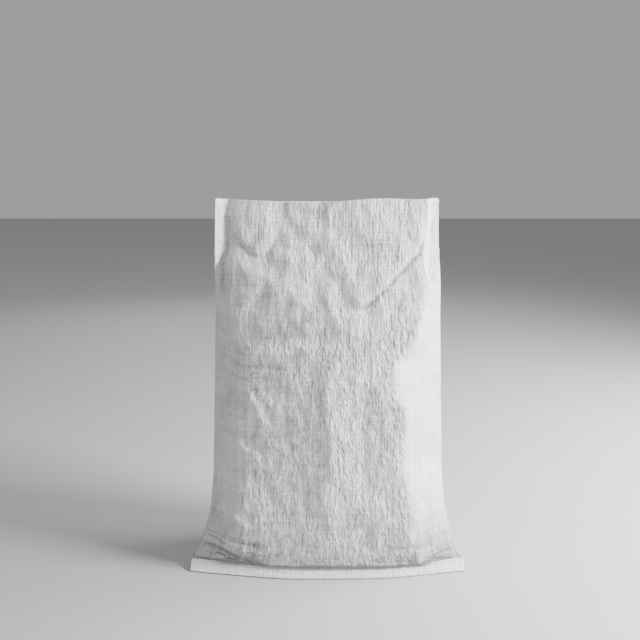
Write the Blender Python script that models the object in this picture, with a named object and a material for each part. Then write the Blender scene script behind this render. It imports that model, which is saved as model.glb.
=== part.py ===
"""An open woven sack of cement, standing on the folded and sewn end of its cloth.

The cloth is one seamless tube. Its lower end is flattened, folded up once and sewn
through, and that hem lies at the front of the base. Its upper end is turned in at
the mouth as a cuff.
Metres, +Z up, the front of the sack towards -Y, the origin on the floor.
"""

import math

import bmesh
import bpy
from mathutils import Vector, noise

# The cloth tube, laid flat
FLAT_WIDTH = 0.550
WALL = 0.0012

# The hem: a strip leaning forward on the floor, sewn along the middle
HEM_STRIP = 0.028
HEM_THICKNESS = 0.0030
HEM_LEAN = math.radians(50)
HEM_SWEEP = 0.030
STITCH_PITCH = 0.0075
STITCH_WAVE = 0.0004
THREAD_DIAMETER = 0.0012
THREAD_MARGIN = 0.006
SEAT_GAP = 0.0003

# The standing body
BODY_WIDTH = 0.484
MOUTH_WIDTH = 0.420
BELLY_DEPTH = 0.186
SHOULDER_DEPTH = 0.200
MOUTH_DEPTH = 0.165
MOUTH_HEIGHT = 0.735
FLARE_HEIGHT = 0.110
FLARE_POWER = 1.6
CREASE_RISE = 0.190
BASE_RADIUS = 0.050
FRONT_TUCK = 0.012
BASE_PRESS = 1.12
HEM_END_SHARPNESS = 1.5
FRONT_RISE = 0.8

# The front's bulge over the hem, as (distance down the strip, distance off its front)
FRONT_BULGE = ((0.0047, 0.0007), (0.0084, 0.0016), (0.0106, 0.0037), (0.0112, 0.0068),
               (0.0100, 0.0110), (0.0068, 0.0162), (-0.0033, 0.0285))

# Where a panel turns into the sides, as (share of the height, share of the half width)
RIGHT_CORNER = ((0.03, 0.691), (0.16, 0.680), (0.31, 0.636), (0.45, 0.631), (0.57, 0.567),
                (0.60, 0.556), (0.68, 0.735), (0.78, 0.902), (1.00, 0.913))
LEFT_CORNER = ((0.03, 0.691), (0.16, 0.706), (0.34, 0.673), (0.50, 0.663), (0.63, 0.661),
               (0.69, 0.764), (0.82, 0.880), (1.00, 0.894))
BACK_CORNER = ((0.03, 0.673), (0.20, 0.686), (0.54, 0.658), (0.68, 0.744), (0.82, 0.870),
               (1.00, 0.894))

# The section: slightly bowed panels, straight sides, and a mouth flat in front
PANEL_BOW = 0.10
LEFT_RECEDE = 0.16
CREASE_ROUND = 0.016
FRONT_ROUND = 0.045
BACK_ROUND = 0.075
SLACK_START = 0.470
SLACK_RISE = 0.150
MOUTH_FRONT = 3.0
MOUTH_BACK = 1.9
LEAN_START = 0.490
LEAN_RISE = 0.170
CREASE_LEAN = 0.058
MOUTH_NARROWING = 0.010

# The main folds of a panel: a line of (x, z) places, its rise and its half width
FRONT_FOLDS = (
    (((0.000, 0.440), (0.001, 0.263), (0.012, 0.070)), 0.0040, 0.026),
    (((0.062, 0.420), (0.070, 0.230), (0.074, 0.140)), -0.0035, 0.020),
    (((-0.180, 0.488), (-0.068, 0.482), (0.050, 0.496)), -0.0038, 0.014),
    (((-0.082, 0.720), (-0.008, 0.618), (0.044, 0.520)), -0.0040, 0.020),
    (((0.016, 0.534), (0.062, 0.540), (0.136, 0.604), (0.176, 0.730)), -0.0040, 0.012),
    (((-0.178, 0.720), (-0.172, 0.672), (-0.128, 0.632), (-0.090, 0.690)), -0.0036, 0.012),
    (((-0.086, 0.770), (-0.066, 0.672)), -0.0040, 0.014),
    (((-0.179, 0.770), (-0.184, 0.660), (-0.203, 0.560)), -0.0070, 0.012),
)
BACK_FOLDS = (
    (((0.040, 0.420), (0.046, 0.320), (0.030, 0.120)), 0.0040, 0.024),
    (((-0.055, 0.400), (-0.060, 0.300), (-0.052, 0.180)), -0.0030, 0.022),
    (((-0.150, 0.700), (-0.010, 0.575), (0.140, 0.690)), -0.0040, 0.014),
    (((-0.140, 0.512), (0.160, 0.510)), -0.0038, 0.012),
    (((0.176, 0.760), (0.186, 0.630), (0.202, 0.560)), -0.0045, 0.012),
    (((-0.176, 0.760), (-0.186, 0.630), (-0.200, 0.565)), -0.0045, 0.012),
)
FOLD_FADE = 4.0

# The swells and dimples of loose cloth: how many a metre, their height on the full body,
# what the slack cloth above it adds, and where in the noise they start
SWELLS = (11, 0.0018, 0.0022, (21.93, 9.51, 17.19))
DIMPLES = (17, 0.0035, 0.0025, (43.86, 19.02, 34.38))
DIMPLE_LENGTH = 0.7
DIMPLE_MIDDLE = 0.3
LOOSE_START = 0.030
LOOSE_RISE = 0.080
LOOSE_SLACK = 0.100

# The cement inside
FILL_HEIGHT = 0.480
FILL_MOUND = 0.016
FILL_GAP = 0.0012

# The cuff turned in at the mouth, deep at the front and short at the back
CUFF_FRONT = 0.200
CUFF_BACK = 0.030
CUFF_GAP = 0.0030

# Detail of the faceted solids
AROUND = 64
FLANK_STEPS = 5
FAN_RINGS = 20
FAN_CROWDING = 1.3
FIRST_OPEN_RING = 1
FIRST_FILLED_RING = 3
UPPER_RINGS = 11
CUFF_RINGS = 8
MOUND_RINGS = 3
PATH_STEPS = 12
ARC_STEPS = 6

CLOTH = ("woven_cloth", (0.80, 0.80, 0.79, 1.0), 0.55)
THREAD = ("sewing_thread", (0.86, 0.85, 0.84, 1.0), 0.60)
CEMENT = ("cement_powder", (0.36, 0.36, 0.35, 1.0), 0.95)

# Worked out from the sizes above
STITCH_Y = -BELLY_DEPTH / 2 + FRONT_TUCK
STITCH_Z = HEM_STRIP * math.cos(HEM_LEAN) + HEM_THICKNESS
CORNER_Z = STITCH_Z - HEM_THICKNESS / 2
HALF_WAY = AROUND // 2

# How the section opens above the hem
FAN_OPENING = 6.0
PRESS_POWER = 0.7
SWEEP_FADE = 4.0

# How the inner faces follow the outer one, as shares of the room between front and back
CLOTH_CLOSENESS = 0.2
FILL_CLOSENESS = 0.4
CREASE_REACH = 0.050
SIDE_SHARE = 3.0
ABOVE_FILL = 0.020
FLAT_CORNER = 0.2
KEEL_RISE = 0.4


def clear_scene():
    for thing in list(bpy.data.objects):
        bpy.data.objects.remove(thing)


def material(name, colour, roughness):
    made = bpy.data.materials.new(name)
    made.use_nodes = True
    shader = made.node_tree.nodes["Principled BSDF"]
    shader.inputs["Base Color"].default_value = colour
    shader.inputs["Roughness"].default_value = roughness
    shader.inputs["Metallic"].default_value = 0.0
    return made


def blend(low, high, share):
    return low + (high - low) * share


def ease(share):
    share = min(1.0, max(0.0, share))
    return share * share * (3 - 2 * share)


def bell(distance):
    return math.exp(-distance * distance)


def by_height(table, z):
    """A table's value at height z, with the table's heights as shares of the mouth's."""
    level = z / MOUTH_HEIGHT
    if level <= table[0][0]:
        return table[0][1]
    for (low, first), (high, last) in zip(table, table[1:]):
        if level <= high:
            return blend(first, last, (level - low) / (high - low))
    return table[-1][1]


def sweep(x):
    """How far the hem lies behind its foremost point, at this place across it."""
    return HEM_SWEEP * (2 * x / FLAT_WIDTH) ** 2


def half_width(z):
    """Half the width between the side creases at height z, flared to the hem's corners."""
    rise = (z - CORNER_Z) / (MOUTH_HEIGHT - CORNER_Z)
    flare = max(0.0, 1 - (z - CORNER_Z) / FLARE_HEIGHT) ** FLARE_POWER
    body = blend(BODY_WIDTH, MOUTH_WIDTH, rise) + (FLAT_WIDTH - BODY_WIDTH) * flare
    return body / 2 - MOUTH_NARROWING * ease((z - LEAN_START) / LEAN_RISE)


def half_depth(z):
    """Half the depth at height z, fullest low down and slack above the cement."""
    if z < FILL_HEIGHT:
        return blend(BELLY_DEPTH, SHOULDER_DEPTH, ease(z / FILL_HEIGHT)) / 2
    slack = (z - FILL_HEIGHT) / (MOUTH_HEIGHT - FILL_HEIGHT)
    return blend(SHOULDER_DEPTH, MOUTH_DEPTH, ease(slack)) / 2


def front_path():
    """The middle of the front, as (y, z), from the stitch line up to the cement's top."""
    lean_y, lean_z = math.sin(HEM_LEAN), math.cos(HEM_LEAN)
    path = [(STITCH_Y, STITCH_Z)]
    for down, off in FRONT_BULGE:
        y = STITCH_Y - down * lean_y - off * lean_z
        path.append((y, STITCH_Z - down * lean_z + off * lean_y))
    start_y, start_z = path[-1]
    for step in range(1, PATH_STEPS + 1):
        share = step / PATH_STEPS
        y = blend(start_y, -half_depth(FILL_HEIGHT), share ** FRONT_RISE)
        path.append((y, blend(start_z, FILL_HEIGHT, share)))
    return path


def back_path():
    """The middle of the back, from the stitch line over the floor and up."""
    back = half_depth(BASE_RADIUS)
    path = [(STITCH_Y, STITCH_Z - HEM_THICKNESS), (STITCH_Y + STITCH_Z, 0.0)]
    for step in range(ARC_STEPS + 1):
        turn = math.pi / 2 * step / ARC_STEPS
        y = back - BASE_RADIUS * (1 - math.sin(turn))
        path.append((y, BASE_RADIUS * (1 - math.cos(turn))))
    for step in range(1, PATH_STEPS + 1):
        z = blend(BASE_RADIUS, FILL_HEIGHT, step / PATH_STEPS)
        path.append((half_depth(z), z))
    return path


def side_path():
    """A side crease, as (y, z), from the stitch line up to the cement's top."""
    path = []
    for step in range(PATH_STEPS + 1):
        z = blend(CORNER_Z, FILL_HEIGHT, step / PATH_STEPS)
        path.append((STITCH_Y * (1 - ease((z - CORNER_Z) / CREASE_RISE)), z))
    return path


def along(path, share):
    """The point at this share of the path's length."""
    steps = [math.dist(a, b) for a, b in zip(path, path[1:])]
    left = share * sum(steps)
    for start, end, step in zip(path, path[1:], steps):
        if left <= step:
            return tuple(blend(a, b, left / step) for a, b in zip(start, end))
        left -= step
    return path[-1]


FRONT = front_path()
BACK = back_path()
SIDE = side_path()


def lens(across, power):
    return max(0.0, 1 - abs(across) ** power) ** (1 / power)


def corner(right, front, z):
    """Where a panel ends at one side, as a share of the half width."""
    side = RIGHT_CORNER if right else LEFT_CORNER
    return by_height(side if front else BACK_CORNER, z)


def column(index, z):
    """A ring point's place across, from 1 at the right crease to -1 at the left."""
    front = index <= HALF_WAY
    step = index if front else AROUND - index
    if step < FLANK_STEPS:
        return blend(1.0, corner(True, front, z), step / FLANK_STEPS), front
    if step > HALF_WAY - FLANK_STEPS:
        return -blend(1.0, corner(False, front, z), (HALF_WAY - step) / FLANK_STEPS), front
    share = (step - FLANK_STEPS) / (HALF_WAY - 2 * FLANK_STEPS)
    return blend(corner(True, front, z), -corner(False, front, z), share), front


def profile(across, front, z):
    """How far out the cloth stands, from 0 at the side creases to 1 in the middle."""
    edge = corner(across > 0, front, z)
    steep = (1 - PANEL_BOW * edge ** 2) / (1 - edge)
    reach = 1 - abs(across) + CREASE_ROUND
    flank = steep * math.sqrt(max(0.0, reach ** 2 - CREASE_ROUND ** 2))
    panel = 1 - PANEL_BOW * across ** 2
    if front and across < 0:
        panel -= LEFT_RECEDE * min(1.0, -across / edge)
    soft = FRONT_ROUND if front else BACK_ROUND
    body = -soft * math.log(math.exp(-panel / soft) + math.exp(-flank / soft))
    body = max(0.0, body)
    mouth = lens(across, MOUTH_FRONT if front else MOUTH_BACK)
    return blend(body, mouth, ease((z - SLACK_START) / SLACK_RISE))


def fold(x, z, front):
    """How far the panel's folds move the cloth outwards at this place."""
    lift = 0.0
    for line, rise, width in FRONT_FOLDS if front else BACK_FOLDS:
        away, place = min(nearest(x, z, line))
        lift += rise * bell(away / width) * ease(FOLD_FADE * min(place, 1 - place))
    return lift


def smooth_noise(place, per_metre, start):
    return noise.fractal(place * per_metre + Vector(start), 1.0, 2.0, 1)


def swell(x, y, z):
    """How far the loose cloth swells or sinks at this place."""
    slack = ease((z - FILL_HEIGHT) / LOOSE_SLACK)
    per_metre, height, more, start = SWELLS
    lift = (height + more * slack) * smooth_noise(Vector((x, y, z)), per_metre, start)
    per_metre, height, more, start = DIMPLES
    dimple = abs(smooth_noise(Vector((x, y, z * DIMPLE_LENGTH)), per_metre, start))
    lift -= (height + more * slack) * (dimple - DIMPLE_MIDDLE)
    return lift * ease((z - LOOSE_START) / LOOSE_RISE)


def nearest(x, z, line):
    """The distance to each piece of a bent line, and the share of the line reached."""
    found = []
    for count, ((x0, z0), (x1, z1)) in enumerate(zip(line, line[1:])):
        run_x, run_z = x1 - x0, z1 - z0
        share = ((x - x0) * run_x + (z - z0) * run_z) / (run_x ** 2 + run_z ** 2)
        share = min(1.0, max(0.0, share))
        away = math.hypot(x - x0 - share * run_x, z - z0 - share * run_z)
        found.append((away, (count + share) / (len(line) - 1)))
    return found


def hem_out(across):
    """How thick the hem is, from 0 at its ends to 1 in the middle."""
    return lens(across, HEM_END_SHARPNESS)


def pressed(out):
    """How much of its drop a point has made when it is this far out."""
    return min(1.0, BASE_PRESS * out ** PRESS_POWER)


def fan_point(index, share):
    """A point below the cement's top, where the rings fan out from the hem."""
    side_y, side_z = along(SIDE, share)
    across, front = column(index, side_z)
    out = blend(hem_out(across), profile(across, front, side_z), ease(FAN_OPENING * share))
    middle_y, middle_z = along(FRONT if front else BACK, share)
    x = across * half_width(side_z)
    z = blend(side_z, middle_z, pressed(out))
    y = blend(side_y, middle_y, out) + sweep(x) * (1 - ease(SWEEP_FADE * share))
    lift = out * (fold(x, z, front) + swell(x, y, z))
    return x, y + (-lift if front else lift), z


def upper_point(index, z, inset):
    """A point above the cement's top, where the rings are level."""
    across, front = column(index, z)
    out = profile(across, front, z)
    crease = -CREASE_LEAN * ease((z - LEAN_START) / LEAN_RISE)
    x = across * half_width(z)
    middle = half_depth(z)
    y = blend(crease, -middle if front else middle, out)
    middle += fold(x, z, front) + swell(x, y, z) - inset
    x -= across * SIDE_SHARE * inset
    return x, blend(crease, -middle if front else middle, out), z


def ring(point):
    """One closed ring of points, from a function of a point's number around the sack."""
    return [point(index) for index in range(AROUND)]


def level_ring(z, inset):
    return ring(lambda index: upper_point(index, z, inset))


def hem_rings():
    """The folded strip below the stitch line, from its front fold up."""
    reach = HEM_STRIP * math.sin(HEM_LEAN)
    drop = HEM_STRIP * math.cos(HEM_LEAN)
    top = ring(lambda index: fan_point(index, 0.0))
    return [[(x, y - reach, z - drop) for x, y, z in top], top]


def fan_rings():
    """The cloth's outer face, from the stitch line up to the cement's top."""
    shares = [(step / FAN_RINGS) ** FAN_CROWDING for step in range(FAN_RINGS + 1)]
    return [ring(lambda index: fan_point(index, share)) for share in shares]


def moved_in(low, here, high, index, inset, closeness):
    """A ring's point moved inwards: square to the cloth, or level at a side crease."""
    before, spot, after = here[index - 1], here[index], here[(index + 1) % AROUND]
    if index in (0, HALF_WAY):
        half_angle = (before - spot).angle(after - spot) / 2
        across = min(inset / math.sin(half_angle), CREASE_REACH * closeness)
        return spot - Vector((math.copysign(across, spot.x), 0.0, 0.0))
    facing = (after - before).cross(high[index] - low[index]).normalized()
    return spot + facing * min(inset, closeness * (spot - here[-index]).length)


def inner_rings(first, inset, closeness):
    """Fan rings moved inwards by the inset, but less where front and back nearly meet."""
    outer = [[Vector(point) for point in points] for points in fan_rings()]
    outer.append([Vector(point) for point in level_ring(FILL_HEIGHT + ABOVE_FILL, 0.0)])
    rings = []
    for number in range(round(first), FAN_RINGS + 1):
        low, here, high = outer[number - 1:number + 2]
        turns = range(AROUND)
        rings.append([moved_in(low, here, high, index, inset, closeness) for index in turns])
    return rings


def keel(points, inset):
    """The line that closes an inner ring below, close above the stitches in the middle."""
    top = ring(lambda index: fan_point(index, 0.0))
    line = []
    for index in range(1, HALF_WAY):
        (x, y, z), back = top[index], top[-index]
        over_hem = Vector(((x + back[0]) / 2, (y + back[1]) / 2, z + inset))
        share = ease((hem_out(2 * x / FLAT_WIDTH) - FLAT_CORNER) / KEEL_RISE)
        line.append(((points[index] + points[-index]) / 2).lerp(over_hem, share))
    return line


def upper_rings(inset, top):
    rings = []
    for step in range(1, UPPER_RINGS + 1):
        z = blend(FILL_HEIGHT, top, step / UPPER_RINGS)
        rings.append(level_ring(z, inset))
    return rings


def cuff_rings(inset, top):
    """The cuff's face at this inset, from the mouth down to the cut edge."""

    def point(index, share):
        across, front = column(index, top)
        ahead = math.sqrt(1 - across ** 2) * (1 if front else -1)
        depth = blend(CUFF_BACK, CUFF_FRONT, (1 + ahead) / 2)
        return upper_point(index, top - share * depth, inset)

    shares = [step / CUFF_RINGS for step in range(CUFF_RINGS + 1)]
    return [ring(lambda index: point(index, share)) for share in shares]


def joined(mesh, line, other):
    """Faces between two lines of vertices, which may share their ends."""
    for index in range(len(line) - 1):
        corners = [line[index], line[index + 1], other[index + 1], other[index]]
        mesh.faces.new(list(dict.fromkeys(corners)))


def front_of(loop):
    return loop[:HALF_WAY + 1]


def back_of(loop):
    return [loop[0]] + loop[:HALF_WAY - 1:-1]


def keeled(mesh, loop, points):
    """Closes a ring's front and back halves down to the line of points between them."""
    line = [loop[0]] + [mesh.verts.new(point) for point in points] + [loop[HALF_WAY]]
    joined(mesh, front_of(loop), line)
    joined(mesh, line, back_of(loop))


def skinned(mesh, rings):
    """Triangles between each ring and the next, split alike inside and outside the cloth."""
    loops = [[mesh.verts.new(point) for point in points] for points in rings]
    for near, far in zip(loops, loops[1:]):
        rising = sum(point.co.z for point in near) < sum(point.co.z for point in far)
        low, high = (near, far) if rising else (far, near)
        for index in range(AROUND):
            after = (index + 1) % AROUND
            if HALF_WAY // 2 <= index < AROUND - HALF_WAY // 2:
                one, other = index, after
            else:
                one, other = after, index
            mesh.faces.new((low[one], low[other], high[other]))
            mesh.faces.new((low[one], high[other], high[one]))
    return loops


def finished(mesh, name, look):
    bmesh.ops.recalc_face_normals(mesh, faces=mesh.faces)
    data = bpy.data.meshes.new(name)
    mesh.to_mesh(data)
    mesh.free()
    data.shade_smooth()
    made = bpy.data.objects.new(name, data)
    bpy.context.scene.collection.objects.link(made)
    made.data.materials.append(look)
    return made


def make_sack(look):
    """The cloth: up the outside, over the rim, down and up the cuff, down the inside."""
    roll = WALL + CUFF_GAP / 2
    brim = MOUTH_HEIGHT - roll
    rings = hem_rings() + fan_rings()[1:] + upper_rings(0.0, brim)
    rings.append(level_ring(MOUTH_HEIGHT, roll))
    rings += cuff_rings(2 * roll, brim)
    rings += reversed(cuff_rings(WALL + CUFF_GAP, brim))
    rings.append(level_ring(MOUTH_HEIGHT - WALL, roll))
    rings += reversed(upper_rings(WALL, brim))
    rings += reversed(inner_rings(FIRST_OPEN_RING, WALL, CLOTH_CLOSENESS))
    mesh = bmesh.new()
    loops = skinned(mesh, rings)
    joined(mesh, front_of(loops[0]), back_of(loops[0]))
    keeled(mesh, loops[-1], keel(rings[-1], WALL))
    return finished(mesh, "sack", look)


def make_fill(look):
    """The cement: the inside of the sack up to a mounded top."""
    inset = WALL + FILL_GAP
    rings = inner_rings(FIRST_FILLED_RING, inset, FILL_CLOSENESS)
    edge = rings[-1]
    for step in range(1, MOUND_RINGS + 1):
        share = step / (MOUND_RINGS + 1)
        rise = FILL_MOUND * (1 - (1 - share) ** 2)
        rings.append([(x * (1 - share), y * (1 - share), z + rise) for x, y, z in edge])
    mesh = bmesh.new()
    loops = skinned(mesh, rings)
    keeled(mesh, loops[0], keel(rings[0], inset))
    peak = mesh.verts.new((0.0, 0.0, FILL_HEIGHT + FILL_MOUND))
    for index, vertex in enumerate(loops[-1]):
        mesh.faces.new((vertex, loops[-1][(index + 1) % AROUND], peak))
    return finished(mesh, "cement_fill", look)


def seam_point(x, front):
    """A point of the hem's middle line at this place across, on its front or back face."""
    side = 1 if front else -1
    y = STITCH_Y + sweep(x) - HEM_STRIP / 2 * math.sin(HEM_LEAN)
    z = CORNER_Z - HEM_STRIP / 2 * math.cos(HEM_LEAN)
    return x, y, z + side * HEM_THICKNESS / 2 * pressed(hem_out(2 * x / FLAT_WIDTH))


def make_thread(name, front, look):
    """One thread of the chain stitch, rising and dipping once a stitch."""
    away = 1 if front else -1
    half = FLAT_WIDTH / 2 - THREAD_MARGIN
    count = 2 * round(2 * half / STITCH_PITCH)
    curve = bpy.data.curves.new(name, "CURVE")
    curve.dimensions = "3D"
    line = curve.splines.new("POLY")
    line.points.add(count)
    for step, point in enumerate(line.points):
        x, y, z = seam_point(blend(-half, half, step / count), front)
        lift = away * (SEAT_GAP + THREAD_DIAMETER / 2 + STITCH_WAVE * (step % 2))
        y -= lift * math.cos(HEM_LEAN)
        z += lift * math.sin(HEM_LEAN)
        point.co = (x, y, z, 1.0)
    curve.bevel_depth = THREAD_DIAMETER / 2
    curve.bevel_resolution = 1
    curve.use_fill_caps = True
    made = bpy.data.objects.new(name, curve)
    bpy.context.scene.collection.objects.link(made)
    made.data.materials.append(look)
    return made


def main():
    clear_scene()
    thread = material(*THREAD)
    make_sack(material(*CLOTH))
    make_fill(material(*CEMENT))
    make_thread("needle_thread", True, thread)
    make_thread("looper_thread", False, thread)


main()
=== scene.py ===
"""Dresses the standing sack of cement: woven cloth, sewn hem, turned-in mouth and powder.

Run it in Blender 4.5. Each piece of the sack is an operator of its own, listed in the
sidebar, and main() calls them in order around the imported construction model. Lengths are in
metres, but in the tables of folds they are in millimetres.
"""

import math

import bmesh
import bpy
import numpy as np
from bpy.props import FloatProperty, FloatVectorProperty, PointerProperty
from mathutils import Matrix, Vector, noise


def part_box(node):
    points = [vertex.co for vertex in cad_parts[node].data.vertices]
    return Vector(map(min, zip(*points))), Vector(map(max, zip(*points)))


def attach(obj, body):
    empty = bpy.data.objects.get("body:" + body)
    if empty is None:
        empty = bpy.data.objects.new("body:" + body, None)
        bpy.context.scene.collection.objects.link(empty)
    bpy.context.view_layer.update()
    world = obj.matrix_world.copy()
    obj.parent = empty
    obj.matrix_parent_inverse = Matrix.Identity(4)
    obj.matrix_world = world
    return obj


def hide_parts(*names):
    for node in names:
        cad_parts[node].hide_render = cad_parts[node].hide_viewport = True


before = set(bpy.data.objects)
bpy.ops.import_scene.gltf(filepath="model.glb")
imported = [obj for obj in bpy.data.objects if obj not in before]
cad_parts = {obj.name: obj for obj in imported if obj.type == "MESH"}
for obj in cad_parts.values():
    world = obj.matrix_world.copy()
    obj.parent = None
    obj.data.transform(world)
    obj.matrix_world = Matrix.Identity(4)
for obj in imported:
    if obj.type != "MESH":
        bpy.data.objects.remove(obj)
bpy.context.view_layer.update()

bl_info = {
    "name": "Cement sack",
    "version": (1, 0, 0),
    "blender": (4, 5, 0),
    "location": "View3D > Sidebar > Sack",
    "description": "Makes a standing woven sack of cement and its studio",
    "category": "Add Mesh",
}

SACK_LOW, SACK_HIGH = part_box("sack")
MOUTH_HEIGHT = SACK_HIGH[2]
FLAT_WIDTH = SACK_HIGH[0] - SACK_LOW[0]

# The hem strip and its lean, as the construction model has them, with the sweep of its ends
# and a slight wave along it (height, radians per metre)
HEM_STRIP = 0.028
HEM_LEAN = math.radians(50)
HEM_THICKNESS = 0.0030
HEM_SWEEP = 0.030
HEM_WAVE = (0.0010, 31)

# The body, as the construction model has it. The bulge is given up the front's middle, as
# (distance ahead of the stitch line, height)
FRONT_TUCK = 0.012
FRONT_BULGE = ((0.0040, 0.0185), (0.0075, 0.0168), (0.0105, 0.0170), (0.0130, 0.0190),
               (0.0148, 0.0230), (0.0156, 0.0290), (0.0158, 0.0450), (0.0162, 0.0900),
               (0.0170, 0.1700), (0.0180, 0.2800), (0.0189, 0.3800), (0.0190, 0.4800))
BASE_RADIUS = 0.050
BASE_PRESS = 1.12
BASE_CURVE = 0.7
FLARE_HEIGHT = 0.110
FLARE_POWER = 1.6
CREASE_RISE = 0.190
BODY_WIDTH = 0.484
MOUTH_WIDTH = 0.420
MOUTH_NARROWING = 0.010
BELLY_DEPTH = 0.186
SHOULDER_DEPTH = 0.200
MOUTH_DEPTH = 0.165
MOUTH_FRONT = 3.0
MOUTH_BACK = 1.9
PANEL_CURVE = 0.10
CREASE_ROUND = 0.016
CREASE_HOLD = 60
LEFT_RECEDE = 0.16
RECEDE_REACH = 0.7
SOFT_LEFT, SOFT_RIGHT, SOFT_BACK = 0.085, 0.045, 0.075
CUT_LENGTH = 1.05
FILL_HEIGHT = 0.480
FILL_MOUND = 0.016

STITCH_Y = -BELLY_DEPTH / 2 + FRONT_TUCK
STITCH_Z = HEM_STRIP * math.cos(HEM_LEAN) + HEM_THICKNESS
CORNER_Z = STITCH_Z - HEM_THICKNESS / 2

# Where the slack cloth starts to narrow and to turn into a lens, and over what height it does
NARROW_FROM, NARROW_OVER = FILL_HEIGHT + 0.01, 0.17
LENS_FROM, LENS_OVER = FILL_HEIGHT - 0.01, 0.15

# Where the front turns into its sides: (height, distance from the middle)
RIGHT_CORNER = ((0.02, 0.190), (0.12, 0.162), (0.23, 0.148), (0.33, 0.144), (0.42, 0.127),
                (0.44, 0.124), (0.49, 0.164), (0.56, 0.181), (0.73, 0.181))
LEFT_CORNER = ((0.02, 0.190), (0.12, 0.168), (0.25, 0.156), (0.37, 0.150), (0.46, 0.147),
               (0.51, 0.168), (0.60, 0.190), (0.73, 0.188))
BACK_CORNER = ((0.02, 0.185), (0.15, 0.162), (0.40, 0.148), (0.50, 0.164), (0.60, 0.188),
               (0.73, 0.188))

# How those lines waver, slowly and quickly: (share, radians per metre of height)
CORNER_SLOW, CORNER_QUICK = (0.020, 41), (0.014, 97)

# The pinched corners of the mouth: where they begin, as (height, share of the half width),
# their y there, and how they slope from there, to the front on the left
EAR_LEFT = ((0.56, 0.985), (0.604, 0.943), (0.634, 0.910), (0.664, 0.885), (0.73, 0.880))
EAR_RIGHT = ((0.56, 0.840), (0.65, 0.857), (0.73, 0.880))
EAR_FOOT = 0.56
EAR_RISE = 0.08
EAR_DEPTH = -0.070
EAR_SLOPE_LEFT = -0.92
EAR_SLOPE_RIGHT = 0.70
EAR_ROUND_FRONT = 0.060
EAR_ROUND_BACK = 0.110
CREASE_LEAN = 0.058

# The mouth's rim: (height, place across, half width) of its waves, the back's share of them
# and its drop, the rise towards the corners, and the drop of it all
RIM_WAVES = ((-0.0045, -0.15, 0.4), (0.0030, 0.45, 0.3))
RIM_BACK, RIM_BACK_DROP = 0.3, 0.0065
RIM_CORNER, RIM_CORNER_POWER = 0.0060, 12
RIM_DROP = 0.001

# The cloth turned in at the mouth: its depth, its distance from the outer cloth as a length
# and as a share of the room, the most that the rolled rim takes of it, and the ragged edge
CUFF_FRONT = 0.200
CUFF_BACK = 0.030
CUFF_SLACK = 0.004
CUFF_SHARE = 0.36
ROLL_SHARE = 0.15
RAGGED, RAGGED_TURNS = 0.003, (2.4, 0.71)

# How quickly a fold fades at its ends, how its crest is rounded and falls, how many times its
# width its shelf reaches, how far its line wavers, and the painted shade and groove along the line
FOLD_FADE = 5
CREST_ROUND, CREST_FALL = 0.2, 1.4
SHELF_REACH = 4
FOLD_DRIFT = 0.006
FOLD_LINE_REACH = 0.05
FOLD_LINE_WIDTH = 0.0044

# Swells and dimples of the cloth, full over the cement and slack above it, and its crinkles
SWELL, DIMPLE = (0.0018, 0.0040), (0.0035, 0.0060)
DIMPLE_MEAN = 0.3
DIMPLE_STRETCH, CRINKLE_STRETCH = (1.0, 1.0, 0.7), (1.0, 1.0, 0.30)
SLACK_CHANGE = 0.1
CRINKLE_MEAN, CRINKLE_SPREAD = 0.65, 0.5

# How the folds are held: over so many rows above the hem, in the middle and at the sides,
# near the floor and at the side creases, and the share of the room that a hollow may take
HOLD_ROWS, HOLD_TURN = (12.0, 4.0), (0.4, 0.3)
HOLD_FLOOR = 0.012
HOLD_SIDE = 14
HOLLOW_SHARE = 0.35
LEAST_ROOM = 1e-6
TINY = 1e-12
FLOOR_GAP = 0.0002

# How crumpled the cloth is: taut sides, the panels over the cement, and slack above it
TAUT = 0.35
TAUT_EDGE = 0.016
FULL_CRUMPLE = 1.40
SLACK_CRUMPLE = 0.80
CRUMPLE_CHANGE = 0.06
HEM_CRUMPLE = 0.2

# Noise over a piece: its scale per metre, its seed and, where it isn't 3, its octaves
NOISE_STEPS = (7.31, 3.17, 5.73)
DRIFT_NOISE = (9, 1), (9, 2)
SWELL_NOISE = (11, 3)
DIMPLE_NOISE = (17, 6, 2)
CRINKLE_NOISE = (14, 5, 2)
RIDGE_NOISE = (34, 8, 2)
RIPPLE_NOISE = (62, 4, 2)
HEM_RIPPLE_NOISE, HEM_LIFT_NOISE = (70, 21), (35, 22)
LUMP_NOISE, CLOD_NOISE = (22, 31), (80, 32)

# The hem band: its half thickness, its wall, its two cut edges, its ends and stitch line, the
# gap between the layers inside it, and how soon its ends and its bend are lost above it
HEM_HALF = 0.00145
HEM_CLOTH = 0.0005
HEM_FRONT_EDGE = 0.025
HEM_BACK_EDGE = 0.019
HEM_END = 0.0015
HEM_CLEARANCE = 0.0001
LAYER_GAP, LAYER_CLOSE = 0.0009, 40
END_FADE, BEND_FADE = 6, 4
STITCH_UP = HEM_STRIP / 2
STITCH_MARGIN = 0.006

# The band's ripple, its loose edge's lift (least, added by noise) and the pull at each stitch
HEM_RIPPLE, HEM_RIPPLE_OVER = 0.0005, 0.006
HEM_LIFT, HEM_LIFT_FROM, HEM_LIFT_OVER = (0.0008, 0.00128), 0.002, 0.009
PULL, PULL_REACH, PULL_BEAT = 0.00045, 0.0022, 0.6

# The stitches: the chord as a share of the pitch, and the height of a thread's arc
NEEDLE_ARC = (0.82, 0.0011)
LOOPER_ARC = (1.02, 0.0016)
LOOPER_LEAN = math.radians(72)
THREAD_SIDES = 6
THREAD_GAP = 0.0002

# The cement: its share of the cloth's width, its inset from the cloth, and its heap and lumps
CEMENT_WIDTH = 0.965
CEMENT_INSET, CEMENT_INSET_SHARE = 0.0035, 0.4
HEAP_POWER = 2.5
LUMP, CLOD, LUMP_HOLD = 0.007, 0.004, 4

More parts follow.
